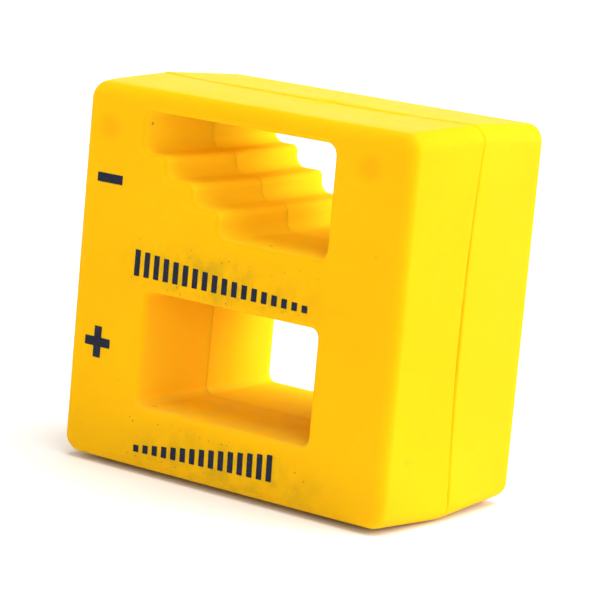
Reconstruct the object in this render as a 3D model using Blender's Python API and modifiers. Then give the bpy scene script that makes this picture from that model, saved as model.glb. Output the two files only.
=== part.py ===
"""A hand-held block that magnetises and demagnetises screwdriver tips.

Two moulded halves meet on a parting plane and close round two ferrite plates. Two windows run
through both halves: a plain one, where a tip is stroked to magnetise it, and one with a stair,
where it is drawn step by step away from the plate to demagnetise it.

Metres, +Z up. X runs to the right of the front face, Y to the back. The origin is the middle of
the underside of the block's bounding box.
"""

import math
from collections import namedtuple

import bmesh
import bpy
from mathutils import Matrix, Vector

# Outer size
WIDTH = 0.052
HEIGHT = 0.050
FRONT_DEPTH = 0.013  # parting plane to front face
REAR_DEPTH = 0.016  # parting plane to rear face
SEAM_Y = (FRONT_DEPTH - REAR_DEPTH) / 2
SEAM_GAP = 0.0003
MIDDLE_Z = HEIGHT / 2

# Roundings
CORNER_RADIUS = 0.00225
FRONT_EDGE_RADIUS = 0.0012
REAR_EDGE_RADIUS = 0.0012
LIP_RADIUS = 0.0009
WINDOW_CORNER_RADIUS = 0.0012
STAIR_CORNER_RADIUS = 0.0009

# Walls
WALL = 0.0022
SLEEVE_WALL = 0.0014
CAVITY_CORNER_RADIUS = 0.0010

# Windows at the parting plane, where they are narrowest
PLAIN_LEFT = -0.0124
PLAIN_RIGHT = 0.0134
PLAIN_FLOOR = MIDDLE_Z - 0.0159
PLAIN_CEILING = MIDDLE_Z - 0.0014
STAIR_LEFT = -0.0148
STAIR_RIGHT = 0.0132
STAIR_CEILING = MIDDLE_Z + 0.0216
STAIR_TOP_TREAD = MIDDLE_Z + 0.0164
STEP_RISE = 0.0028
STEP_RUN = 0.0042
FIRST_RISER_X = -0.0109
STEPS = 3
STAIR_FLOOR = MIDDLE_Z + 0.0074

# Locating pins and their sockets: (x, z) of each boss
BOSSES = (
    (-0.0210, MIDDLE_Z + 0.0187),
    (0.0195, MIDDLE_Z + 0.0192),
    (-0.0200, MIDDLE_Z - 0.0195),
    (0.0200, MIDDLE_Z - 0.0195),
)
BOSS_RADIUS = 0.0022
PIN_RADIUS = 0.0011
PIN_LENGTH = 0.0035
SOCKET_RADIUS = 0.0014
SOCKET_DEPTH = 0.0042

# Ferrite plates
MAGNET_SIZE = (0.025, 0.020, 0.004)
MAGNET_EDGE = 0.0004
MAGNET_X = (PLAIN_LEFT + PLAIN_RIGHT) / 2
MAGNET_Y = SEAM_Y + 0.0005
BRIDGE_MAGNET_Z = (PLAIN_CEILING + STAIR_FLOOR) / 2
BASE_MAGNET_Z = MIDDLE_Z - 0.0199
MAGNET_CLEARANCE = 0.0003

# Ribs that hold the plates
RIB_THICKNESS = 0.0012
STOP_RIB_SPACING = 0.016

# Facets of each quarter turn
CORNER_FACETS = 5
EDGE_FACETS = 4
WINDOW_FACETS = 4
LIP_FACETS = 4
ROUND_SIDES = 20

OVERRUN = 0.001  # how far a cutter runs past the face that it cuts

# One moulded half. Drafts are tangents: outer walls, plain window's sides, stair window's sides,
# and the level surfaces of both windows. stair_shift moves the stair's risers along X.
Half = namedtuple(
    "Half",
    "name side depth edge_radius draft plain_draft stair_draft level_draft stair_shift",
)
FRONT = Half("front_shell", -1, FRONT_DEPTH, FRONT_EDGE_RADIUS, 0.050, 0.045, 0.045, 0.020, 0.0)
REAR = Half("rear_shell", 1, REAR_DEPTH, REAR_EDGE_RADIUS, 0.045, 0.085, 0.130, 0.030, 0.00035)


def clear_scene():
    for obj in list(bpy.data.objects):
        bpy.data.objects.remove(obj, do_unlink=True)


def new_collection(name, shown):
    collection = bpy.data.collections.new(name)
    bpy.context.scene.collection.children.link(collection)
    collection.hide_render = not shown
    return collection


def new_object(name, bm, collection):
    """Makes an object of a bmesh, with every face pointing out, and frees the bmesh."""
    bmesh.ops.recalc_face_normals(bm, faces=bm.faces)
    mesh = bpy.data.meshes.new(name)
    bm.to_mesh(mesh)
    bm.free()
    obj = bpy.data.objects.new(name, mesh)
    collection.objects.link(obj)
    if collection.hide_render:
        obj.hide_render = True
        obj.display_type = "WIRE"
    return obj


def plastic(name, colour, roughness, metallic=0.0):
    material = bpy.data.materials.new(name)
    material.use_nodes = True
    shader = material.node_tree.nodes["Principled BSDF"]
    shader.inputs["Base Color"].default_value = (*colour, 1.0)
    shader.inputs["Roughness"].default_value = roughness
    shader.inputs["Metallic"].default_value = metallic
    return material


def boolean(obj, cutter, operation):
    modifier = obj.modifiers.new(f"{operation.lower()}_{cutter.name}", "BOOLEAN")
    modifier.operation = operation
    modifier.solver = "EXACT"
    modifier.object = cutter


def shade_smooth(obj):
    obj.data.shade_smooth()
    obj.data.set_sharp_from_angle(angle=math.radians(30))


def y_at(half, distance):
    """World Y at a distance from the parting plane into a half."""
    return SEAM_Y + half.side * distance


def drafted_block(name, half, near, far, inset, corner_radius, edge_radius, collection):
    """A box that narrows away from the parting plane, with its long edges and far rim rounded."""
    bm = bmesh.new()
    bmesh.ops.create_cube(bm, size=2.0)
    for vert in bm.verts:
        distance = far if vert.co.y > 0 else near
        taper = half.draft * max(distance, 0.0) + inset
        x = math.copysign(WIDTH / 2 - taper, vert.co.x)
        z = MIDDLE_Z + math.copysign(HEIGHT / 2 - taper, vert.co.z)
        vert.co = (x, y_at(half, distance), z)
    bmesh.ops.recalc_face_normals(bm, faces=bm.faces)

    def spans_depth(edge):
        return abs(edge.verts[0].co.y - edge.verts[1].co.y) > (far - near) / 2

    long_edges = [edge for edge in bm.edges if spans_depth(edge)]
    bmesh.ops.bevel(
        bm,
        geom=long_edges,
        offset=corner_radius,
        segments=CORNER_FACETS,
        profile=0.5,
        affect="EDGES",
    )
    if edge_radius:
        far_y = y_at(half, far)
        rim = [e for e in bm.edges if all(abs(v.co.y - far_y) < 1e-6 for v in e.verts)]
        bmesh.ops.bevel(
            bm, geom=rim, offset=edge_radius, segments=EDGE_FACETS, profile=0.5, affect="EDGES"
        )
    return new_object(name, bm, collection)


def box(name, low, high, collection):
    """An upright box between two corners."""
    low = Vector(low)
    high = Vector(high)
    bm = bmesh.new()
    place = Matrix.Translation((low + high) / 2) @ Matrix.Diagonal((*(high - low), 1.0))
    bmesh.ops.create_cube(bm, size=1.0, matrix=place)
    return new_object(name, bm, collection)


def cylinder(name, half, x, z, radius, near, far, collection):
    """A cylinder along Y between two distances from the parting plane."""
    bm = bmesh.new()
    centre = Vector((x, y_at(half, (near + far) / 2), z))
    place = Matrix.Translation(centre) @ Matrix.Rotation(math.pi / 2, 4, "X")
    bmesh.ops.create_cone(
        bm,
        cap_ends=True,
        segments=ROUND_SIDES,
        radius1=radius,
        radius2=radius,
        depth=abs(far - near),
        matrix=place,
    )
    return new_object(name, bm, collection)


def plain_corners():
    """Corners of the plain window at the parting plane, anticlockwise from the lower left."""
    return [
        (PLAIN_LEFT, PLAIN_FLOOR),
        (PLAIN_RIGHT, PLAIN_FLOOR),
        (PLAIN_RIGHT, PLAIN_CEILING),
        (PLAIN_LEFT, PLAIN_CEILING),
    ]


def stair_corners(half):
    """Corners of the stepped window at the parting plane, anticlockwise from the lower right."""
    corners = [
        (STAIR_RIGHT, STAIR_FLOOR),
        (STAIR_RIGHT, STAIR_CEILING),
        (STAIR_LEFT + half.stair_shift, STAIR_CEILING),
        (STAIR_LEFT + half.stair_shift, STAIR_TOP_TREAD),
    ]
    for step in range(STEPS):
        x = FIRST_RISER_X + half.stair_shift + step * STEP_RUN
        last = step == STEPS - 1
        foot = STAIR_FLOOR if last else STAIR_TOP_TREAD - (step + 1) * STEP_RISE
        corners += [(x, STAIR_TOP_TREAD - step * STEP_RISE), (x, foot)]
    return corners


def grown(corners, sideways, level):
    """Moves the upright sides of a right-angled outline out by one amount, level ones by another."""
    moved = []
    for index, (x, z) in enumerate(corners):
        before = corners[index - 1]
        after = corners[(index + 1) % len(corners)]
        rise = (z - before[1]) + (after[1] - z)
        run = (x - before[0]) + (after[0] - x)
        moved.append((x + math.copysign(sideways, rise), z - math.copysign(level, run)))
    return moved


def rounded(corners, inner_radius, nose_radius):
    """The outline with an arc at each corner: hollow corners and stair noses have their own radius."""
    points = []
    for index, (x, z) in enumerate(corners):
        corner = Vector((x, z))
        to_before = (Vector(corners[index - 1]) - corner).normalized()
        to_after = (Vector(corners[(index + 1) % len(corners)]) - corner).normalized()
        turns_left = to_before.x * to_after.y - to_before.y * to_after.x < 0
        radius = inner_radius if turns_left else nose_radius
        centre = corner + radius * (to_before + to_after)
        for facet in range(WINDOW_FACETS + 1):
            angle = math.radians(90) * facet / WINDOW_FACETS
            out = -to_after * math.cos(angle) - to_before * math.sin(angle)
            points.append(centre + radius * out)
    return points


def loft(name, half, sections, collection):
    """A closed solid through outlines of equally many points: sections of (distance, outline)."""
    bm = bmesh.new()
    rings = []
    for distance, outline in sections:
        rings.append([bm.verts.new((p.x, y_at(half, distance), p.y)) for p in outline])
    for ring, following in zip(rings, rings[1:]):
        for index in range(len(ring)):
            bm.faces.new((ring[index - 1], ring[index], following[index], following[index - 1]))
    bm.faces.new(rings[0])
    bm.faces.new(rings[-1])
    return new_object(name, bm, collection)


def window_outline(half, corners, draft, radius, distance, extra):
    """A window's outline at a distance from the parting plane, grown all round by an extra amount."""
    deep = min(max(distance, 0.0), half.depth)
    sideways = draft * deep + extra
    level = half.level_draft * deep + extra
    nose = max(radius - extra, radius / 4)
    return rounded(grown(corners, sideways, level), radius + extra, nose)


def window_cutter(name, half, corners, draft, radius, collection):
    """The space of a window in one half, flared at the face so that its lip is rounded."""
    stations = [(-OVERRUN, 0.0), (half.depth - LIP_RADIUS, 0.0)]
    for facet in range(1, LIP_FACETS + 1):
        angle = math.radians(90) * facet / LIP_FACETS
        distance = half.depth - LIP_RADIUS * (1 - math.sin(angle))
        stations.append((distance, LIP_RADIUS * (1 - math.cos(angle))))
    stations.append((half.depth + OVERRUN, LIP_RADIUS))
    sections = [
        (distance, window_outline(half, corners, draft, radius, distance, extra))
        for distance, extra in stations
    ]
    return loft(name, half, sections, collection)


def window_sleeve(name, half, corners, draft, radius, collection):
    """The outside of the tube of plastic round a window."""
    ends = (-2 * OVERRUN, half.depth + 2 * OVERRUN)
    sections = [
        (distance, window_outline(half, corners, draft, radius, distance, SLEEVE_WALL))
        for distance in ends
    ]
    return loft(name, half, sections, collection)


def magnet_ribs(half, magnet_name, magnet_z, collection):
    """Ribs at the ends of a ferrite plate and behind it, in one half."""
    length, depth, thickness = MAGNET_SIZE
    reach = thickness / 2 + SLEEVE_WALL
    end_x = length / 2 + MAGNET_CLEARANCE + RIB_THICKNESS / 2
    edge = (MAGNET_Y + half.side * (depth / 2 + MAGNET_CLEARANCE) - SEAM_Y) * half.side
    spans = [(MAGNET_X + side * end_x, -2 * OVERRUN) for side in (-1, 1)]
    spans += [(MAGNET_X + side * STOP_RIB_SPACING / 2, edge) for side in (-1, 1)]
    ribs = []
    for index, (x, near) in enumerate(spans):
        ys = sorted((y_at(half, near), y_at(half, half.depth)))
        low = (x - RIB_THICKNESS / 2, ys[0], magnet_z - reach)
        high = (x + RIB_THICKNESS / 2, ys[1], magnet_z + reach)
        ribs.append(box(f"cut_{half.name}_{magnet_name}_rib_{index}", low, high, collection))
    return ribs


def shell_core(half, cutters):
    """The hollow of one half: a cavity with the sleeves, bosses and ribs left standing in it."""
    name = half.name
    core = drafted_block(
        f"cut_{name}_core", half, -OVERRUN, half.depth - WALL, WALL, CAVITY_CORNER_RADIUS, 0, cutters
    )
    windows = (
        ("plain", plain_corners(), half.plain_draft, WINDOW_CORNER_RADIUS),
        ("stair", stair_corners(half), half.stair_draft, STAIR_CORNER_RADIUS),
    )
    standing = [
        window_sleeve(f"cut_{name}_{window}_sleeve", half, corners, draft, radius, cutters)
        for window, corners, draft, radius in windows
    ]
    for index, (x, z) in enumerate(BOSSES):
        boss_name = f"cut_{name}_boss_{index}"
        ends = (-2 * OVERRUN, half.depth)
        standing.append(cylinder(boss_name, half, x, z, BOSS_RADIUS, *ends, cutters))
    standing += magnet_ribs(half, "bridge", BRIDGE_MAGNET_Z, cutters)
    standing += magnet_ribs(half, "base", BASE_MAGNET_Z, cutters)
    for piece in standing:
        boolean(core, piece, "DIFFERENCE")
    return core


def make_shell(half, material, parts, cutters):
    """One moulded half, hollow behind its face, with both windows cut through it."""
    name = half.name
    shell = drafted_block(
        name, half, SEAM_GAP / 2, half.depth, 0.0, CORNER_RADIUS, half.edge_radius, parts
    )
    shell.data.materials.append(material)
    boolean(shell, shell_core(half, cutters), "DIFFERENCE")
    windows = (
        ("plain", plain_corners(), half.plain_draft, WINDOW_CORNER_RADIUS),
        ("stair", stair_corners(half), half.stair_draft, STAIR_CORNER_RADIUS),
    )
    for window, corners, draft, radius in windows:
        cutter = window_cutter(f"cut_{name}_{window}", half, corners, draft, radius, cutters)
        boolean(shell, cutter, "DIFFERENCE")
    for index, (x, z) in enumerate(BOSSES):
        if half is FRONT:
            ends = (SOCKET_DEPTH, -PIN_LENGTH)
            pin = cylinder(f"add_{name}_pin_{index}", half, x, z, PIN_RADIUS, *ends, cutters)
            boolean(shell, pin, "UNION")
        else:
            ends = (-OVERRUN, SOCKET_DEPTH)
            socket = cylinder(f"cut_{name}_socket_{index}", half, x, z, SOCKET_RADIUS, *ends, cutters)
            boolean(shell, socket, "DIFFERENCE")
    shade_smooth(shell)
    return shell


def make_magnet(name, z, material, parts):
    """A ferrite plate with small chamfers, lying flat."""
    size = Vector(MAGNET_SIZE)
    centre = Vector((MAGNET_X, MAGNET_Y, z))
    magnet = box(name, centre - size / 2, centre + size / 2, parts)
    magnet.data.materials.append(material)
    chamfer = magnet.modifiers.new("chamfer", "BEVEL")
    chamfer.width = MAGNET_EDGE
    chamfer.segments = 1
    return magnet


def main():
    clear_scene()
    parts = new_collection("tip_magnetiser", True)
    cutters = new_collection("cutters", False)
    yellow = plastic("yellow_plastic", (1.0, 0.60, 0.012), 0.35)
    ferrite = plastic("ferrite", (0.035, 0.035, 0.038), 0.55)
    make_shell(FRONT, yellow, parts, cutters)
    make_shell(REAR, yellow, parts, cutters)
    make_magnet("bridge_magnet", BRIDGE_MAGNET_Z, ferrite, parts)
    make_magnet("base_magnet", BASE_MAGNET_Z, ferrite, parts)


main()
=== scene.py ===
"""Looks of the tip magnetiser: two moulded yellow halves with a stepped and a plain window, their
navy ink marks, the ferrite plates inside, a pale floor and soft studio light.

Metres, +Z up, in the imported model's frame: X to the right of the front face, Y to the back.
"""

import math
import random
from collections import namedtuple

import bmesh
import bpy
from mathutils import Matrix, Vector, noise


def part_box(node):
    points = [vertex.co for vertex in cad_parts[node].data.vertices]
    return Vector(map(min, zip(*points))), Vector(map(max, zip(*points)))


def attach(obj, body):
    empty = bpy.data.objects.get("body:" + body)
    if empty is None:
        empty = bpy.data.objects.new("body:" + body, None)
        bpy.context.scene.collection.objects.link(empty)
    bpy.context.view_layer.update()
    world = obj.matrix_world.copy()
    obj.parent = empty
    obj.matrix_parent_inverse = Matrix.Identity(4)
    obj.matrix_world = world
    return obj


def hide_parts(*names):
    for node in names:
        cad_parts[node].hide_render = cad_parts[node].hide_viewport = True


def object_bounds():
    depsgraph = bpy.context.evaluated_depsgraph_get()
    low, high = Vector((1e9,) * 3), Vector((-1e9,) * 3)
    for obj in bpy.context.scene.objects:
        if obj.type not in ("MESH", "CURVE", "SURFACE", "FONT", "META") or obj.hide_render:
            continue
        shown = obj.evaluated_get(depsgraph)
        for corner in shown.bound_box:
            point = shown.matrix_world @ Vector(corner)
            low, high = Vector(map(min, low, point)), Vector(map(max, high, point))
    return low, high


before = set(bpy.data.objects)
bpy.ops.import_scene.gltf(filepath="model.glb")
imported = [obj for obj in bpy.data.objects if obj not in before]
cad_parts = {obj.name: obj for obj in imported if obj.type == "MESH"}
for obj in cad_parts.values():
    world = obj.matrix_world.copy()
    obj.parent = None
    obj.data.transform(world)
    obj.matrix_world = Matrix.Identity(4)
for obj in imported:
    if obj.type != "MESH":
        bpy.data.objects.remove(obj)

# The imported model's own box and parting plane
CAD_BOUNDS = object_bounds()
LOW, HIGH = CAD_BOUNDS
WIDTH = HIGH.x - LOW.x
HEIGHT = HIGH.z - LOW.z
CENTRE = (LOW + HIGH) / 2
MIDDLE_Z = CENTRE.z
CAD_SEAM_GAP = 0.0003
SEAM_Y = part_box("rear_shell")[0].y - CAD_SEAM_GAP / 2
FRONT_DEPTH = SEAM_Y - LOW.y
REAR_DEPTH = HIGH.y - SEAM_Y

# Roundings
CORNER_RADIUS = 0.00225
LIP_RADIUS = 0.0008
CROWN_REACH = 0.0026
CROWN_DROP = 0.0011

# Walls
WALL = 0.0022
SLEEVE_WALL = 0.0014
CAVITY_CORNER_RADIUS = 0.0010

# Windows at the parting plane, where they are narrowest
PLAIN_LEFT = -0.0123
PLAIN_RIGHT = 0.0123
PLAIN_FLOOR = MIDDLE_Z - 0.0159
PLAIN_CEILING = MIDDLE_Z - 0.0016
STAIR_LEFT = -0.0145
STAIR_RIGHT = 0.0122
STAIR_CEILING = MIDDLE_Z + 0.0213
STAIR_TOP_TREAD = MIDDLE_Z + 0.0164
STEP_RISE = 0.0028
STEP_RUN = 0.0044
FIRST_RISER_X = -0.01055
STEPS = 3
STAIR_FLOOR = MIDDLE_Z + 0.0074

# Locating pins, sockets and the ribs round the ferrite plates
BOSSES = (
    (-0.0210, MIDDLE_Z + 0.0187),
    (0.0195, MIDDLE_Z + 0.0192),
    (-0.0200, MIDDLE_Z - 0.0195),
    (0.0200, MIDDLE_Z - 0.0195),
)
BOSS_RADIUS = 0.0022
PIN_RADIUS = 0.0011
PIN_LENGTH = 0.0035
SOCKET_RADIUS = 0.0014
SOCKET_DEPTH = 0.0042
MAGNET_CLEARANCE = 0.0003
RIB_THICKNESS = 0.0012
STOP_RIB_SPACING = 0.016  # between the two ribs behind a plate

# Marks left by moulding: shallow sinks over the bosses and the scar of the gate on top
SINKS = ((-0.0214, MIDDLE_Z + 0.0186), (0.0190, MIDDLE_Z + 0.0195))
SINK_RADIUS = 0.0014
SINK_DEPTH = 0.00005
GATE_X = 0.0034
GATE_BEHIND_SEAM = 0.0004
GATE_RADIUS = 0.0016
GATE_DEPTH = 0.00042

# How the parting line wanders from its plane, as shifts along Y
SEAM_AT_CORNERS = 0.0012
SEAM_AT_MID_SIDE = -0.0002
SEAM_AT_MID_TOP = -0.0012
SEAM_GAP_CLOSED = 0.00004
SEAM_GAP_OPEN = 0.00038
TOP_STEP = 0.00014  # from the front half's top up to the rear half's

# Facets
CORNER_FACETS = 12
SIDE_FACETS = 20
EDGE_FACETS = 10
WALL_STATIONS = 8
WINDOW_FACETS = 10
LIP_FACETS = 8
SEAM_FACETS = 3
DISH_RINGS = 10
ROUND_SIDES = 32
SHARP_DEGREES = 32  # edges sharper than this stay sharp when shaded

OVERRUN = 0.001  # how far a cutter runs past what it cuts

# Ink marks
INK_THICKNESS = 0.00002
INK_RAGGEDNESS = 0.00003
INK_STEP = 0.00009
INK_NOISE_SEED = 1
STROKE = 0.0012
MARK_SPAN = 0.0041
MINUS_AT = (-0.0207, MIDDLE_Z + 0.0121)
PLUS_AT = (-0.0207, MIDDLE_Z - 0.0092)
BAR_STROKE = 0.00085
BAR_TALL = 0.0034
BAR_SHORT = 0.0009

# Rows of bars: left end, right end and base line, then how many bars and the row's tilt in degrees
FADING_ROW = (-0.0156, 0.0118, MIDDLE_Z + 0.0004)
FADING_COUNT = 18
FADING_TILT = 0.0
RISING_ROW = (-0.0134, 0.0087, MIDDLE_Z - 0.0222)
RISING_COUNT = 15
RISING_TILT = 1.7
SPECK_COUNT = 60

# Drafts are tangents: outer walls, then each window's upright sides and level surfaces.
Half = namedtuple("Half", "name side depth edge_radius seam_radius draft plain_drafts stair_drafts")
FRONT = Half(
    "front_shell", -1, FRONT_DEPTH, 0.00150, 0.00010, 0.050, (0.092, 0.020), (0.115, 0.020)
)
REAR = Half("rear_shell", 1, REAR_DEPTH, 0.00060, 0.00066, 0.045, (0.080, 0.020), (0.105, 0.008))

# A window's radii: hollow corners, stair noses and the edge at the seam
Radii = namedtuple("Radii", "inner nose seam")
PLAIN_RADII = Radii(0.0012, 0.0, 0.00020)
STAIR_RADII = Radii(0.0015, 0.0009, 0.00011)
Window = namedtuple("Window", "name corners drafts radii")

# Camera
CAMERA_AZIMUTH = 35.24
CAMERA_ELEVATION = 10.29
CAMERA_ROLL = 5.24
CAMERA_DISTANCE = 0.3861
CAMERA_LENS = 177.6
CAMERA_AIM = Vector((0.00097, 0.00027, -0.00187))  # from the box's centre

# Studio light: name, azimuth, elevation, distance, size and power of each soft box
SOFT_BOXES = (
    ("front", 34, 22, 2.0, 1.2, 8.9),
    ("top", 80, 78, 2.0, 1.6, 36),
    ("right", 136, 15, 2.0, 2.0, 52),
)
AMBIENT = 0.60
FLOOR_HALF_SIZE = 3.0
FLOOR_DROP = 0.0001

# Linear colours of the yellow plastic, of what lies on it, and of the light and shade painted on it
YELLOW_LOW = (0.840, 0.440, 0.0040, 1)
YELLOW_HIGH = (0.860, 0.465, 0.0045, 1)
# painted shade towards the foot of the front face
FOOT_SHADE_PAINT = (0.58, 0.335, 0.008, 1)
STAIR_TINT = (0.97, 0.565, 0.0115, 1)
PLAIN_TINT = (0.95, 0.47, 0.0100, 1)
# painted light towards the back of the windows
REAR_LIGHT_PAINT = (0.95, 0.66, 0.012, 1)
# painted shade round the sink marks
SINK_SHADE_PAINT = (0.84, 0.375, 0.004, 1)
SMUDGE = (0.42, 0.27, 0.012, 1)
SPECK = (0.25, 0.13, 0.01, 1)
DIRT = (0.10, 0.045, 0.008, 1)
# painted sheen on the flat of the top
TOP_SHEEN_PAINT = (0.86, 0.475, 0.060, 1)
# painted shade and sheen on the plain window's floor
FLOOR_SHADE_AND_SHEEN_PAINT = (0.66, 0.40, 0.035, 1)
SMEAR = (0.40, 0.26, 0.012, 1)

# Where the material changes: past both sides of the block, near its front face, inside the windows
PAST_SIDE = 0.03
NEAR_FACE = 0.0016
INSIDE_FRONT_Y = LOW.y + 0.0008
INSIDE_HIGH = (0.0142, HIGH.y - 0.0008, STAIR_CEILING + 0.0006)


# ---------------------------------------------------------------- helpers


def link(name, mesh):
    obj = bpy.data.objects.new(name, mesh)
    bpy.context.scene.collection.objects.link(obj)
    return obj


def object_of(name, bm):
    """Makes an object of a bmesh, with every face pointing out, and frees the bmesh."""
    bmesh.ops.recalc_face_normals(bm, faces=bm.faces)
    mesh = bpy.data.meshes.new(name)
    bm.to_mesh(mesh)
    bm.free()
    return link(name, mesh)


def y_at(half, distance):
    return SEAM_Y + half.side * distance


def quarter(facets):
    """Angles of a quarter turn, without its start."""
    return [math.radians(90) * step / facets for step in range(1, facets + 1)]


def loft(name, half, sections):
    """A closed solid through outlines of equally many points: sections of (distance, outline)."""
    bm = bmesh.new()
    rings = []
    for distance, outline in sections:
        rings.append([bm.verts.new((p[0], y_at(half, distance), p[1])) for p in outline])
    for ring, following in zip(rings, rings[1:]):
        for index in range(len(ring)):
            bm.faces.new((ring[index - 1], ring[index], following[index], following[index - 1]))
    bm.faces.new(rings[0])
    bm.faces.new(rings[-1])
    return object_of(name, bm)


def cylinder(name, half, x, z, radius, near, far):
    bm = bmesh.new()
    centre = Vector((x, y_at(half, (near + far) / 2), z))
    place = Matrix.Translation(centre) @ Matrix.Rotation(math.pi / 2, 4, "X")
    bmesh.ops.create_cone(
        bm,
        cap_ends=True,
        segments=ROUND_SIDES,
        radius1=radius,
        radius2=radius,
        depth=abs(far - near),
        matrix=place,
    )
    return object_of(name, bm)


def box(name, low, high):
    low = Vector(low)
    high = Vector(high)
    bm = bmesh.new()
    place = Matrix.Translation((low + high) / 2) @ Matrix.Diagonal((*(high - low), 1.0))
    bmesh.ops.create_cube(bm, size=1.0, matrix=place)
    return object_of(name, bm)


def carve(obj, steps):
    """Runs Boolean steps of (cutter, operation) on an object, and removes the cutters."""
    for cutter, operation in steps:
        modifier = obj.modifiers.new(cutter.name, "BOOLEAN")
        modifier.operation = operation
        modifier.solver = "EXACT"
        modifier.object = cutter
    graph = bpy.context.evaluated_depsgraph_get()
    carved = bpy.data.meshes.new_from_object(obj.evaluated_get(graph))
    obj.modifiers.clear()
    obj.data = carved
    for cutter, _ in steps:
        bpy.data.objects.remove(cutter)
    return obj


# ---------------------------------------------------------------- outer skin


def rounded_rectangle(half_width, half_height, radius):
    """An outline round the middle of the block, with points along its sides too."""
    across = half_width - radius
    up = half_height - radius
    corners = ((across, up), (-across, up), (-across, -up), (across, -up))
    outline = []
    for index, (x, z) in enumerate(corners):
        for step in range(CORNER_FACETS + 1):
            angle = math.radians(90) * (index + step / CORNER_FACETS)
            outline.append(Vector((x + radius * math.cos(angle), z + radius * math.sin(angle))))
        start = outline[-1]
        following = corners[(index + 1) % 4]
        turn = math.radians(90) * (index + 1)
        end = Vector(following) + radius * Vector((math.cos(turn), math.sin(turn)))
        outline += [start.lerp(end, step / SIDE_FACETS) for step in range(1, SIDE_FACETS)]
    return [Vector((p.x, MIDDLE_Z + p.y)) for p in outline]


def skin_outline(half, distance, inset):
    """The outer wall's outline at a distance from the parting plane, drawn in by an inset."""
    narrowing = half.draft * max(distance, 0.0) + inset
    radius = max(CORNER_RADIUS - inset, CAVITY_CORNER_RADIUS)
    return rounded_rectangle(WIDTH / 2 - narrowing, HEIGHT / 2 - narrowing, radius)


def skin(half):
    """One half's solid outside: rounded at the seam, drafted, and rounded into its face."""
    stations = [(SEAM_GAP_CLOSED / 2, half.seam_radius)]
    for angle in quarter(SEAM_FACETS):
        distance = SEAM_GAP_CLOSED / 2 + half.seam_radius * (1 - math.cos(angle))
        stations.append((distance, half.seam_radius * (1 - math.sin(angle))))
    start = stations[-1][0]
    lean = math.atan(half.draft)
    rim = half.depth - half.edge_radius
    end = rim + half.edge_radius * math.sin(lean)
    for step in range(1, WALL_STATIONS + 1):
        stations.append((start + (end - start) * step / WALL_STATIONS, 0.0))
    for step in range(1, EDGE_FACETS + 1):
        angle = lean + (math.radians(90) - lean) * step / EDGE_FACETS
        distance = rim + half.edge_radius * math.sin(angle)
        reach = half.edge_radius * (1 / math.cos(lean) - math.cos(angle))
        stations.append((distance, reach - half.draft * (distance - rim)))
    sections = [(distance, skin_outline(half, distance, inset)) for distance, inset in stations]
    body = loft(half.name + "_skin", half, sections)
    if half is FRONT:
        crown(body)
    return body


def crown(body):
    """Rounds the front edge of the top more than the other front edges."""
    for vert in body.data.vertices:
        reach = 1 - min(max(vert.co.y - LOW.y, 0.0) / CROWN_REACH, 1.0)
        up = max(vert.co.z - MIDDLE_Z, 0.0) / (HEIGHT / 2)
        vert.co.z -= CROWN_DROP * (1 - math.sqrt(1 - reach**2)) * up**6


# ---------------------------------------------------------------- windows


def plain_corners():
    """Corners of the plain window at the parting plane, anticlockwise from the lower left."""
    return [
        (PLAIN_LEFT, PLAIN_FLOOR),
        (PLAIN_RIGHT, PLAIN_FLOOR),
        (PLAIN_RIGHT, PLAIN_CEILING),
        (PLAIN_LEFT, PLAIN_CEILING),
    ]


def stair_corners():
    """Corners of the stepped window at the parting plane, anticlockwise from the lower right."""
    corners = [
        (STAIR_RIGHT, STAIR_FLOOR),
        (STAIR_RIGHT, STAIR_CEILING),
        (STAIR_LEFT, STAIR_CEILING),
        (STAIR_LEFT, STAIR_TOP_TREAD),
    ]
    for step in range(STEPS):
        x = FIRST_RISER_X + step * STEP_RUN
        last = step == STEPS - 1
        foot = STAIR_FLOOR if last else STAIR_TOP_TREAD - (step + 1) * STEP_RISE
        corners += [(x, STAIR_TOP_TREAD - step * STEP_RISE), (x, foot)]
    return corners


def grown(corners, sideways, level):
    """Moves the upright sides of a right-angled outline out by one amount, level ones by another."""
    moved = []
    for index, (x, z) in enumerate(corners):
        before = corners[index - 1]
        after = corners[(index + 1) % len(corners)]
        rise = (z - before[1]) + (after[1] - z)
        run = (x - before[0]) + (after[0] - x)
        moved.append((x + math.copysign(sideways, rise), z - math.copysign(level, run)))
    return moved


def rounded(corners, inner_radius, nose_radius):
    """The outline with an arc at each corner: hollow corners and stair noses have their own radius."""
    points = []
    for index, (x, z) in enumerate(corners):
        corner = Vector((x, z))
        to_before = (Vector(corners[index - 1]) - corner).normalized()
        to_after = (Vector(corners[(index + 1) % len(corners)]) - corner).normalized()
        hollow = to_before.x * to_after.y - to_before.y * to_after.x < 0
        radius = inner_radius if hollow else nose_radius
        centre = corner + radius * (to_before + to_after)
        for angle in [0.0] + quarter(WINDOW_FACETS):
            out = -to_after * math.cos(angle) - to_before * math.sin(angle)
            points.append(centre + radius * out)
    return points


def windows(half):
    return (
        Window("plain", plain_corners(), half.plain_drafts, PLAIN_RADII),
        Window("stair", stair_corners(), half.stair_drafts, STAIR_RADII),
    )


def window_outline(half, window, distance, extra):
    """A window's outline at a distance from the parting plane, grown all round by an extra amount."""
    deep = min(max(distance, 0.0), half.depth)
    sideways = window.drafts[0] * deep + extra
    level = window.drafts[1] * deep + extra
    nose = max(window.radii.nose - extra, window.radii.nose / 5)
    return rounded(grown(window.corners, sideways, level), window.radii.inner + extra, nose)


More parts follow.
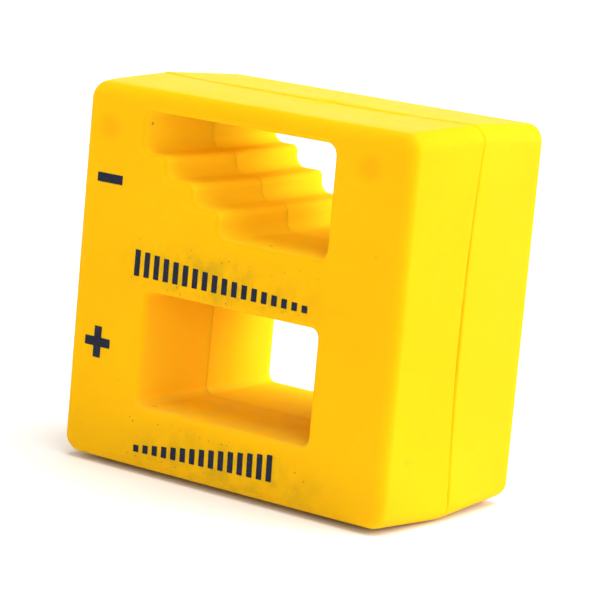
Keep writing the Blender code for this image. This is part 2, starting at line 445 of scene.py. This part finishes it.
def window_cutter(half, window):
    """The space of a window in one half, with its lip and its edge at the seam rounded."""
    edge = window.radii.seam
    stations = [(-OVERRUN, edge), (SEAM_GAP_CLOSED / 2, edge)]
    for angle in quarter(SEAM_FACETS):
        distance = SEAM_GAP_CLOSED / 2 + edge * (1 - math.cos(angle))
        stations.append((distance, edge * (1 - math.sin(angle))))
    stations.append((half.depth - LIP_RADIUS, 0.0))
    for angle in quarter(LIP_FACETS):
        distance = half.depth - LIP_RADIUS * (1 - math.sin(angle))
        stations.append((distance, LIP_RADIUS * (1 - math.cos(angle))))
    stations.append((half.depth + OVERRUN, LIP_RADIUS))
    sections = [
        (distance, window_outline(half, window, distance, extra)) for distance, extra in stations
    ]
    return loft(f"{half.name}_{window.name}_window", half, sections)


def window_sleeve(half, window):
    """The outside of the tube of plastic round a window."""
    sections = [
        (distance, window_outline(half, window, distance, SLEEVE_WALL))
        for distance in (-2 * OVERRUN, half.depth + 2 * OVERRUN)
    ]
    return loft(f"{half.name}_{window.name}_sleeve", half, sections)


# ---------------------------------------------------------------- inside of a half


def magnet_ribs(half, magnet):
    """Ribs at the ends of a ferrite plate and behind it, in one half."""
    low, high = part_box(magnet)
    middle = (low + high) / 2
    size = high - low
    reach = size.z / 2 + SLEEVE_WALL
    end_x = size.x / 2 + MAGNET_CLEARANCE + RIB_THICKNESS / 2
    edge = (middle.y + half.side * (size.y / 2 + MAGNET_CLEARANCE) - SEAM_Y) * half.side
    spans = [(middle.x + side * end_x, -2 * OVERRUN) for side in (-1, 1)]
    spans += [(middle.x + side * STOP_RIB_SPACING / 2, edge) for side in (-1, 1)]
    ribs = []
    for index, (x, near) in enumerate(spans):
        ys = sorted((y_at(half, near), y_at(half, half.depth)))
        corner_low = (x - RIB_THICKNESS / 2, ys[0], middle.z - reach)
        corner_high = (x + RIB_THICKNESS / 2, ys[1], middle.z + reach)
        ribs.append(box(f"{half.name}_{magnet}_rib_{index}", corner_low, corner_high))
    return ribs


def hollow_of(half):
    """The hollow of one half, with its sleeves, bosses and ribs left standing in it."""
    sections = [
        (distance, skin_outline(half, distance, WALL)) for distance in (-OVERRUN, half.depth - WALL)
    ]
    hollow = loft(half.name + "_hollow", half, sections)
    standing = [window_sleeve(half, window) for window in windows(half)]
    for index, (x, z) in enumerate(BOSSES):
        name = f"{half.name}_boss_{index}"
        standing.append(cylinder(name, half, x, z, BOSS_RADIUS, -2 * OVERRUN, half.depth))
    standing += magnet_ribs(half, "bridge_magnet")
    standing += magnet_ribs(half, "base_magnet")
    return carve(hollow, [(piece, "DIFFERENCE") for piece in standing])


def pins_or_sockets(half):
    steps = []
    for index, (x, z) in enumerate(BOSSES):
        name = f"{half.name}_peg_{index}"
        if half is FRONT:
            pin = cylinder(name, half, x, z, PIN_RADIUS, SOCKET_DEPTH, -PIN_LENGTH)
            steps.append((pin, "UNION"))
        else:
            socket = cylinder(name, half, x, z, SOCKET_RADIUS, -OVERRUN, SOCKET_DEPTH)
            steps.append((socket, "DIFFERENCE"))
    return steps


# ---------------------------------------------------------------- moulding marks and the seam


def dish_cutter(name, rim, outward, radius, depth):
    """A cap of a large ball that dips into a surface: its rim's middle, radius and depth are given."""
    ball_radius = (radius**2 + depth**2) / (2 * depth)
    cap = math.asin(min(2.5 * radius / ball_radius, 1.0))  # reaches well past the rim
    bm = bmesh.new()
    circles = []
    for ring in range(1, DISH_RINGS + 1):
        angle = cap * ring / DISH_RINGS
        circle = []
        for step in range(ROUND_SIDES):
            turn = math.tau * step / ROUND_SIDES
            flat = Vector((math.cos(turn), math.sin(turn), 0)) * ball_radius * math.sin(angle)
            drop = ball_radius * (1 - math.cos(angle)) - depth
            circle.append(bm.verts.new(flat + Vector((0, 0, drop))))
        circles.append(circle)
    tip = bm.verts.new((0, 0, -depth))
    for step in range(ROUND_SIDES):
        bm.faces.new((tip, circles[0][step - 1], circles[0][step]))
    for inner, outer in zip(circles, circles[1:]):
        for step in range(ROUND_SIDES):
            bm.faces.new((inner[step - 1], outer[step - 1], outer[step], inner[step]))
    bm.faces.new(circles[-1])
    turn = outward.to_track_quat("Z", "Y").to_matrix().to_4x4()
    bm.transform(Matrix.Translation(rim) @ turn)
    return object_of(name, bm)


def sink_cutters():
    out = Vector((0, -1, 0))
    return [
        dish_cutter(f"sink_{index}", Vector((x, LOW.y, z)), out, SINK_RADIUS, SINK_DEPTH)
        for index, (x, z) in enumerate(SINKS)
    ]


def gate_cutter():
    """The scar where the gate was broken off, on top just behind the seam."""
    rim = Vector((GATE_X, SEAM_Y + GATE_BEHIND_SEAM, HIGH.z))
    return dish_cutter("gate", rim, Vector((0, 0, 1)), GATE_RADIUS, GATE_DEPTH)


def seam_shift(x, z):
    """How far the parting line has wandered along Y at a place on the parting plane."""
    across = abs(x) / (WIDTH / 2)
    up = abs(z - MIDDLE_Z) / (HEIGHT / 2)
    beside = min(across, 1.0) ** 4
    rise = min(up, 1.0) ** 2.2
    at_side = SEAM_AT_CORNERS * rise + SEAM_AT_MID_SIDE * (1 - rise)
    return beside * at_side + (1 - beside) * SEAM_AT_MID_TOP * min(up, 1.0) ** 4


def seam_opening(x, z):
    """Half the extra gap: the sides gape halfway up and low down, and the top is shut tight."""
    up = (z - MIDDLE_Z) / (HEIGHT / 2)
    gape = math.exp(-(((up + 0.1) / 0.4) ** 2)) + 0.6 * math.exp(-(((up + 0.9) / 0.08) ** 2))
    beside = min(abs(x) / (WIDTH / 2), 1.0) ** 8
    shut = min(max(up, 0.0), 1.0) ** 6 * (1 - beside)
    return (SEAM_GAP_OPEN - SEAM_GAP_CLOSED) / 2 * gape * beside - SEAM_GAP_CLOSED * 0.7 * shut


def bend_seam(half, obj):
    """Lets the parting line wander, fading towards the face, with a small step up to the rear half."""
    for vert in obj.data.vertices:
        distance = (vert.co.y - SEAM_Y) * half.side
        share = 1 - min(max(distance, 0.0) / half.depth, 1.0)
        vert.co.y += share * seam_shift(vert.co.x, vert.co.z)
        vert.co.y += share**6 * half.side * seam_opening(vert.co.x, vert.co.z)
        if half is FRONT:
            up = max(vert.co.z - MIDDLE_Z, 0.0) / (HEIGHT / 2)
            vert.co.z -= TOP_STEP * share**2 * up**8


# ---------------------------------------------------------------- shells


def smooth(obj):
    obj.data.shade_smooth()
    obj.data.set_sharp_from_angle(angle=math.radians(SHARP_DEGREES))
    weighted = obj.modifiers.new("weighted_normals", "WEIGHTED_NORMAL")
    weighted.keep_sharp = True


def make_shell(half, material):
    shell = skin(half)
    shell.name = half.name + "_moulding"
    steps = [(hollow_of(half), "DIFFERENCE")]
    steps += [(window_cutter(half, window), "DIFFERENCE") for window in windows(half)]
    steps += pins_or_sockets(half)
    marks = sink_cutters() if half is FRONT else [gate_cutter()]
    steps += [(mark, "DIFFERENCE") for mark in marks]
    carve(shell, steps)
    bend_seam(half, shell)
    shell.data.materials.clear()
    shell.data.materials.append(material)
    smooth(shell)
    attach(shell, "root")
    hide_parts(half.name)


# ---------------------------------------------------------------- ink


def ragged(corners, seed):
    """A closed outline with slightly rounded corners and the uneven edge of printed ink."""
    points = []
    for index, corner in enumerate(corners):
        start = Vector(corner)
        end = Vector(corners[(index + 1) % len(corners)])
        steps = max(2, round((end - start).length / INK_STEP))
        for step in range(steps):
            points.append(start.lerp(end, (step + 0.5) / steps))
    uneven = []
    for point in points:
        drift = noise.noise_vector(Vector((point.x, point.y, seed)) * 6000) * INK_RAGGEDNESS
        uneven.append(Vector((point.x + drift.x, point.y + drift.y)))
    return uneven


def ink_piece(name, outlines, material):
    """Printed ink: each outline in X and Z becomes a thin solid on the front face."""
    bm = bmesh.new()
    front = LOW.y - INK_THICKNESS
    back = LOW.y + INK_THICKNESS
    for outline in outlines:
        near = [bm.verts.new((p.x, front, p.y)) for p in outline]
        far = [bm.verts.new((p.x, back, p.y)) for p in outline]
        bm.faces.new(near)
        bm.faces.new(list(reversed(far)))
        for index in range(len(outline)):
            bm.faces.new((near[index - 1], far[index - 1], far[index], near[index]))
    piece = object_of(name, bm)
    piece.data.materials.append(material)
    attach(piece, "root")


def rectangle(x, z, width, height):
    left = x - width / 2
    low = z - height / 2
    return [(left, low), (left + width, low), (left + width, low + height), (left, low + height)]


def plus_outline(x, z, span, stroke):
    a = stroke / 2
    b = span / 2
    steps = [(-a, -b), (a, -b), (a, -a), (b, -a), (b, a), (a, a)]
    steps += [(a, b), (-a, b), (-a, a), (-b, a), (-b, -a), (-a, -a)]
    return [(x + dx, z + dz) for dx, dz in steps]


def tilted(corners, pivot, degrees):
    turn = Matrix.Rotation(math.radians(degrees), 2)
    pivot = Vector(pivot)
    return [pivot + turn @ (Vector(corner) - pivot) for corner in corners]


def bar_row(left, right, base, count, first, last, tilt, seed):
    """A row of upright bars on a base line, whose heights run evenly from first to last."""
    outlines = []
    for index in range(count):
        share = index / (count - 1)
        height = first + (last - first) * share
        x = left + BAR_STROKE / 2 + (right - left - BAR_STROKE) * share
        bar = rectangle(x, base + height / 2, BAR_STROKE, height)
        outlines.append(ragged(tilted(bar, (left, base), tilt), seed + index))
    return outlines


def specks(rows, seed, count):
    """Tiny spots of stray ink round the printed rows: (left, right, low, high) of each."""
    draw = random.Random(seed)
    outlines = []
    for _ in range(count):
        left, right, low, high = rows[draw.randrange(len(rows))]
        x = draw.uniform(left - 0.001, right + 0.0015)
        side = draw.choice((-1, 1))
        spread = min(abs(draw.gauss(0, 0.0007)) + 0.0003, 0.0016)
        z = low - spread if side < 0 else high + spread
        radius = draw.uniform(0.00003, 0.00008)
        sides = 7
        outline = []
        for step in range(sides):
            turn = math.tau * step / sides
            reach = radius * draw.uniform(0.7, 1.2)
            outline.append(Vector((x + reach * math.cos(turn), z + reach * math.sin(turn))))
        outlines.append(outline)
    return outlines


# ---------------------------------------------------------------- materials


class Nodes:
    """Short ways to add nodes to a material and wire them."""

    def __init__(self, name):
        self.material = bpy.data.materials.new(name)
        self.material.use_nodes = True
        self.tree = self.material.node_tree
        self.shader = self.tree.nodes["Principled BSDF"]
        coordinates = self.tree.nodes.new("ShaderNodeTexCoord")
        self.place = coordinates.outputs["Object"]

    def plug(self, source, socket):
        if isinstance(source, bpy.types.NodeSocket):
            self.tree.links.new(source, socket)
        else:
            socket.default_value = source

    def noise(self, scale, detail=2.0, roughness=0.5, stretch=None):
        node = self.tree.nodes.new("ShaderNodeTexNoise")
        node.inputs["Scale"].default_value = scale
        node.inputs["Detail"].default_value = detail
        node.inputs["Roughness"].default_value = roughness
        place = self.place if stretch is None else self.mapped((0, 0, 0), stretch)
        self.tree.links.new(place, node.inputs["Vector"])
        return node.outputs["Fac"]

    def mapped(self, location, scale):
        node = self.tree.nodes.new("ShaderNodeMapping")
        node.inputs["Location"].default_value = location
        node.inputs["Scale"].default_value = scale
        self.tree.links.new(self.place, node.inputs["Vector"])
        return node.outputs["Vector"]

    def ball(self, centre, radii):
        """1 at a centre, falling to 0 at the radii along X, Y and Z."""
        node = self.tree.nodes.new("ShaderNodeTexGradient")
        node.gradient_type = "SPHERICAL"
        scale = [1 / radius for radius in radii]
        location = [-c / radius for c, radius in zip(centre, radii)]
        self.tree.links.new(self.mapped(location, scale), node.inputs["Vector"])
        return node.outputs["Fac"]

    def block(self, low, high, edge):
        """1 inside a box given by two corners, falling to 0 over an edge's width outside it."""
        inside = 1.0
        for place, start, end in zip(self.axes(), low, high):
            offset = self.combine("SUBTRACT", place, (start + end) / 2)
            reach = (end - start) / 2
            within = self.ramp(self.combine("ABSOLUTE", offset, 0.0), reach + edge, reach)
            inside = self.times(within, inside)
        return inside

    def axes(self):
        """The place along X, Y and Z."""
        split = self.tree.nodes.new("ShaderNodeSeparateXYZ")
        self.tree.links.new(self.place, split.inputs["Vector"])
        return split.outputs

    def upward(self):
        """How far the surface faces up, from -1 to 1."""
        geometry = self.tree.nodes.new("ShaderNodeNewGeometry")
        split = self.tree.nodes.new("ShaderNodeSeparateXYZ")
        self.tree.links.new(geometry.outputs["Normal"], split.inputs["Vector"])
        return split.outputs["Z"]

    def spots(self, scale, size):
        """1 in small round spots, 0 elsewhere."""
        node = self.tree.nodes.new("ShaderNodeTexVoronoi")
        node.inputs["Scale"].default_value = scale
        self.tree.links.new(self.place, node.inputs["Vector"])
        return self.ramp(node.outputs["Distance"], size, size * 0.5)

    def ramp(self, source, low, high, start=0.0, end=1.0):
        """Eases from start to end as the source goes from low to high."""
        node = self.tree.nodes.new("ShaderNodeMapRange")
        node.interpolation_type = "SMOOTHSTEP"
        self.plug(source, node.inputs["Value"])
        node.inputs["From Min"].default_value = low
        node.inputs["From Max"].default_value = high
        node.inputs["To Min"].default_value = start
        node.inputs["To Max"].default_value = end
        return node.outputs["Result"]

    def times(self, first, second):
        return self.combine("MULTIPLY", first, second)

    def combine(self, operation, first, second):
        node = self.tree.nodes.new("ShaderNodeMath")
        node.operation = operation
        self.plug(first, node.inputs[0])
        self.plug(second, node.inputs[1])
        return node.outputs["Value"]

    def mix(self, share, first, second):
        node = self.tree.nodes.new("ShaderNodeMix")
        node.data_type = "RGBA"
        self.plug(share, node.inputs["Factor"])
        self.plug(first, node.inputs[6])
        self.plug(second, node.inputs[7])
        return node.outputs[2]

    def bump(self, height, distance, strength, below=None):
        node = self.tree.nodes.new("ShaderNodeBump")
        node.inputs["Distance"].default_value = distance
        node.inputs["Strength"].default_value = strength
        self.plug(height, node.inputs["Height"])
        if below is not None:
            self.tree.links.new(below, node.inputs["Normal"])
        return node.outputs["Normal"]

    def set(self, **values):
        for name, value in values.items():
            self.plug(value, self.shader.inputs[name.replace("_", " ")])
        return self.material


def blemishes(n):
    """1 in a few specks of dirt, in the windows, on the seam and on the right side."""
    right = WIDTH / 2 - 0.0003
    places = (
        ((-0.0158, LOW.y + 0.0016, MIDDLE_Z + 0.0198), (0.0008, 0.0003, 0.0003)),
        ((0.0035, SEAM_Y - 0.0102, STAIR_FLOOR - 0.0002), (0.0004, 0.0003, 0.0006)),
        ((PLAIN_LEFT + 0.0007, LOW.y + 0.0014, PLAIN_FLOOR - 0.0002), (0.0006, 0.0003, 0.0003)),
        ((right, SEAM_Y, MIDDLE_Z - 0.0061), (0.0008, 0.0002, 0.0002)),
        ((right, SEAM_Y + 0.0009, MIDDLE_Z - 0.0214), (0.0010, 0.0002, 0.0007)),
        ((right, SEAM_Y - 0.0082, MIDDLE_Z - 0.0013), (0.0008, 0.0001, 0.0001)),
    )
    total = 0.0
    for centre, radii in places:
        total = n.combine("MAXIMUM", n.ramp(n.ball(centre, radii), 0.1, 0.6), total)
    return total


def ground_and_foot_shade(n):
    """The plastic's own yellow with a slow drift, and painted shade that makes it duller towards the
    foot of the front.
    """
    colour = n.mix(n.ramp(n.noise(55, 3), 0.3, 0.7), YELLOW_LOW, YELLOW_HIGH)
    low = (-PAST_SIDE, LOW.y - NEAR_FACE, LOW.z - 0.01)
    # Painted shade: darker towards the foot of the front face, where less light reaches.
    foot = n.block(low, (PAST_SIDE, LOW.y + NEAR_FACE, LOW.z + 0.001), 0.009)
    return n.mix(n.times(foot, 0.3), colour, FOOT_SHADE_PAINT)


def window_tints(n, colour):
    """Warmer inside the windows, which stands in for light that comes through the walls."""
    stair = n.block((-0.0168, INSIDE_FRONT_Y, STAIR_FLOOR - 0.0008), INSIDE_HIGH, 0.0005)
    colour = n.mix(stair, colour, STAIR_TINT)
    plain_high = (0.0140, SEAM_Y + 0.0040, PLAIN_CEILING + 0.0008)
    plain = n.block((-0.0140, INSIDE_FRONT_Y, PLAIN_FLOOR + 0.0006), plain_high, 0.0005)
    return n.mix(plain, colour, PLAIN_TINT)


def rear_window_painted_light(n, colour):
    """Painted light: lighter towards the back of both windows."""
    high = (0.0138, HIGH.y - 0.0008, STAIR_CEILING + 0.0006)
    rear = n.block((-0.0162, SEAM_Y + 0.0006, PLAIN_FLOOR - 0.0010), high, 0.0009)
    rear = n.times(rear, n.ramp(n.axes()["Y"], SEAM_Y, HIGH.y, 0.15, 1.0))
    return n.mix(rear, colour, REAR_LIGHT_PAINT)


def print_smudges(n, colour):
    """Patchy greenish smudges round both rows of print, and rare dark specks anywhere."""
    upper = n.ball((-0.002, LOW.y, MIDDLE_Z + 0.0015), (0.021, NEAR_FACE, 0.0055))
    lower = n.ball((0.001, LOW.y, MIDDLE_Z - 0.0225), (0.023, NEAR_FACE, 0.0065))
    patchy = n.ramp(n.noise(330, 4, 0.6), 0.35, 0.72)
    smudge = n.times(n.ramp(n.combine("MAXIMUM", upper, lower), 0.0, 0.75), patchy)
    colour = n.mix(n.times(smudge, 0.55), colour, SMUDGE)
    rare = n.times(n.spots(420, 0.075), n.ramp(n.noise(90, 1), 0.62, 0.66))
    return n.mix(n.times(rare, 0.6), colour, SPECK)


def painted_sink_shade(n, colour):
    # Painted shade: each sink mark darker and more orange round its dip.
    for x, z in SINKS:
        sink = n.ball((x, LOW.y, z), (2 * SINK_RADIUS, 0.002, 2 * SINK_RADIUS))
        colour = n.mix(n.ramp(sink, 0.1, 0.8, 0.0, 0.7), colour, SINK_SHADE_PAINT)
    return colour


def painted_top_sheen(n, colour):
    """Painted sheen: the flat of the top is paler in patches, but hardly along the seam and round the
    gate.
    """
    low = (-PAST_SIDE, LOW.y, HIGH.z - 0.0025)
    sheen = n.block(low, (PAST_SIDE, HIGH.y, HIGH.z + 0.001), 0.0002)
    sheen = n.times(sheen, n.ramp(n.upward(), 0.97, 0.995))
    gate = n.ball((GATE_X, SEAM_Y - 0.0004, HIGH.z), (0.0034, 0.0042, 0.0030))
    sheen = n.times(sheen, n.ramp(gate, 0.0, 0.7, 1.0, 0.1))
    seam_high = (0.0150, SEAM_Y - 0.0003, HIGH.z + 0.001)
    seam = n.block((-0.0125, SEAM_Y - 0.0014, HIGH.z - 0.002), seam_high, 0.0017)
    seam = n.times(seam, n.ramp(n.noise(210, 3, 0.6), 0.3, 0.62, 0.45, 1.0))
    sheen = n.times(sheen, n.ramp(seam, 0.0, 1.0, 1.0, 0.1))
    patchy = n.ramp(n.noise(160, 3, 0.6, (0.35, 1.0, 1.0)), 0.3, 0.7, 0.35, 0.8)
    return n.mix(n.times(sheen, patchy), colour, TOP_SHEEN_PAINT)


def floor_shade_and_smear(n, colour):
    """Painted shade and sheen in patches on the plain window's floor, and a faint smear low on the
    right side.
    """
    # Painted shade and sheen: the floor duller, with a paler cast, in patches.
    high = (0.0150, HIGH.y - 0.0006, PLAIN_FLOOR + 0.0002)
    floor_shade = n.block((-0.0150, LOW.y + 0.0006, PLAIN_FLOOR - 0.0012), high, 0.0007)
    floor_patches = n.ramp(n.noise(260, 3, 0.6), 0.3, 0.7, 0.15, 0.55)
    colour = n.mix(n.times(floor_shade, floor_patches), colour, FLOOR_SHADE_AND_SHEEN_PAINT)
    middle = (WIDTH / 2 - 0.0003, SEAM_Y - 0.0086, MIDDLE_Z - 0.0160)
    smear = n.ball(middle, (0.002, 0.0013, 0.0010))
    return n.mix(n.ramp(smear, 0.0, 0.8, 0.0, 0.16), colour, SMEAR)


def plastic_colour(n):
    colour = window_tints(n, ground_and_foot_shade(n))
    colour = painted_sink_shade(n, print_smudges(n, colour))
    colour = n.mix(n.times(blemishes(n), 0.62), colour, DIRT)
    colour = floor_shade_and_smear(n, painted_top_sheen(n, colour))
    return rear_window_painted_light(n, colour)


def yellow_plastic():
    """Translucent yellow plastic, duller and deeper inside the windows, with grain and hairlines."""
    n = Nodes("yellow_plastic")
    colour = plastic_colour(n)
    hairlines = n.ramp(n.noise(900, 2, 0.5, (1.0, 1.0, 0.05)), 0.62, 0.70)
    inside = n.block((-0.0168, INSIDE_FRONT_Y, PLAIN_FLOOR - 0.0006), INSIDE_HIGH, 0.0004)
    rough = n.ramp(n.noise(700, 3), 0.3, 0.7, 0.46, 0.56)
    rough = n.combine("ADD", rough, n.times(hairlines, 0.05))
    rough = n.combine("ADD", rough, n.times(inside, 0.25))
    normal = n.bump(n.noise(120, 2), 0.0004, 0.25)
    normal = n.bump(n.noise(5200, 3, 0.6), 0.000012, 0.45, normal)
    normal = n.bump(hairlines, 0.000005, 0.4, normal)
    gloss = n.ramp(inside, 0.0, 1.0, 0.02, 0.012)
    deep = n.ramp(inside, 0.0, 1.0, 0.0010, 0.0032)
    weight = n.ramp(inside, 0.0, 1.0, 0.6, 0.42)
    n.set(Base_Color=colour, Roughness=rough, Normal=normal, Specular_IOR_Level=gloss)
    n.set(IOR=1.46, Subsurface_Weight=weight, Subsurface_Scale=deep)
    n.set(Subsurface_Radius=(1.0, 0.60, 0.08), Specular_Tint=(1.0, 0.75, 0.25, 1))
    return n.material


def navy_ink():
    """Pad-printed ink, thin in places so that the yellow shows in pinholes."""
    n = Nodes("navy_ink")
    tone = n.ramp(n.noise(900, 3), 0.3, 0.7)
    colour = n.mix(tone, (0.009, 0.012, 0.026, 1), (0.015, 0.018, 0.036, 1))
    holes = n.ramp(n.noise(6500, 2, 0.6), 0.70, 0.76)
    colour = n.mix(n.times(holes, 0.6), colour, (0.62, 0.36, 0.01, 1))
    normal = n.bump(n.noise(8000, 2), 0.000006, 0.5)
    rough = n.ramp(tone, 0.0, 1.0, 0.5, 0.62)
    return n.set(Base_Color=colour, Roughness=rough, Normal=normal, Specular_IOR_Level=0.1)


def ferrite():
    """Sintered ferrite: near-black grey with a fine ground grain and paler chipped spots."""
    n = Nodes("ferrite")
    colour = n.mix(n.noise(1500, 4, 0.6), (0.022, 0.022, 0.024, 1), (0.060, 0.058, 0.058, 1))
    chips = n.ramp(n.noise(420, 2), 0.66, 0.70)
    colour = n.mix(chips, colour, (0.12, 0.115, 0.11, 1))
    normal = n.bump(n.noise(3000, 4, 0.7), 0.00003, 0.5)
    rough = n.ramp(n.noise(1100, 3), 0.3, 0.7, 0.5, 0.7)
    return n.set(Base_Color=colour, Roughness=rough, Normal=normal)


def pale_floor():
    n = Nodes("pale_floor")
    colour = n.mix(n.noise(9, 3), (0.91, 0.91, 0.91, 1), (0.94, 0.94, 0.93, 1))
    return n.set(Base_Color=colour, Roughness=n.ramp(n.noise(40, 2), 0.3, 0.7, 0.6, 0.7))


# ---------------------------------------------------------------- stage


def soft_box(name, azimuth, elevation, distance, size, power):
    """A square area light that looks at the block from a direction, as the camera's is given."""
    light = bpy.data.lights.new(name, "AREA")
    light.shape = "SQUARE"
    light.size = size
    light.energy = power
    obj = link(name, light)
    back = direction(azimuth, elevation)
    obj.location = CENTRE + back * distance
    obj.rotation_mode = "QUATERNION"
    obj.rotation_quaternion = (-back).to_track_quat("-Z", "Y")


def direction(azimuth, elevation):
    """From the block: azimuth 0 is straight out of the front face, 90 out of its right side."""
    a = math.radians(azimuth)
    e = math.radians(elevation)
    return Vector((math.sin(a) * math.cos(e), -math.cos(a) * math.cos(e), math.sin(e)))


def make_camera():
    data = bpy.data.cameras.new("camera")
    data.lens = CAMERA_LENS
    data.sensor_width = 36
    data.clip_start = 0.01
    data.clip_end = 10
    camera = link("camera", data)
    back = direction(CAMERA_AZIMUTH, CAMERA_ELEVATION)
    camera.location = CENTRE + CAMERA_AIM + back * CAMERA_DISTANCE
    turn = (-back).to_track_quat("-Z", "Y").to_matrix()
    roll = Matrix.Rotation(math.radians(CAMERA_ROLL), 3, "Z")
    camera.rotation_mode = "QUATERNION"
    camera.rotation_quaternion = (turn @ roll).to_quaternion()
    bpy.context.scene.camera = camera


def make_floor():
    bm = bmesh.new()
    bmesh.ops.create_grid(bm, x_segments=1, y_segments=1, size=FLOOR_HALF_SIZE)
    floor = object_of("floor", bm)
    floor.location.z = LOW.z - FLOOR_DROP
    floor.data.materials.append(pale_floor())


def make_world():
    world = bpy.data.worlds.new("studio")
    world.use_nodes = True
    background = world.node_tree.nodes["Background"]
    background.inputs["Color"].default_value = (1, 1, 1, 1)
    background.inputs["Strength"].default_value = AMBIENT
    bpy.context.scene.world = world


def make_stage():
    bpy.context.scene.view_settings.view_transform = "Standard"
    make_camera()
    make_floor()
    make_world()
    for settings in SOFT_BOXES:
        soft_box(*settings)


# ---------------------------------------------------------------- the object


def make_marks(ink):
    noise.seed_set(INK_NOISE_SEED)  # unseeded, this noise takes the clock and differs each run
    ink_piece("minus_mark", [ragged(rectangle(*MINUS_AT, MARK_SPAN, STROKE), 1)], ink)
    ink_piece("plus_mark", [ragged(plus_outline(*PLUS_AT, MARK_SPAN, STROKE), 2)], ink)
    fading = bar_row(*FADING_ROW, FADING_COUNT, BAR_TALL, BAR_SHORT, FADING_TILT, 10)
    rising = bar_row(*RISING_ROW, RISING_COUNT, BAR_SHORT, BAR_TALL, RISING_TILT, 40)
    ink_piece("fading_bars", fading, ink)
    ink_piece("rising_bars", rising, ink)
    ends = (FADING_ROW, RISING_ROW)
    rows = [(left, right, base, base + BAR_TALL) for left, right, base in ends]
    ink_piece("ink_specks", specks(rows, 7, SPECK_COUNT), ink)


def main():
    yellow = yellow_plastic()
    make_shell(FRONT, yellow)
    make_shell(REAR, yellow)
    make_marks(navy_ink())
    plates = ferrite()
    for name in ("bridge_magnet", "base_magnet"):
        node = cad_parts[name]
        node.data.materials.clear()
        node.data.materials.append(plates)
    make_stage()


main()
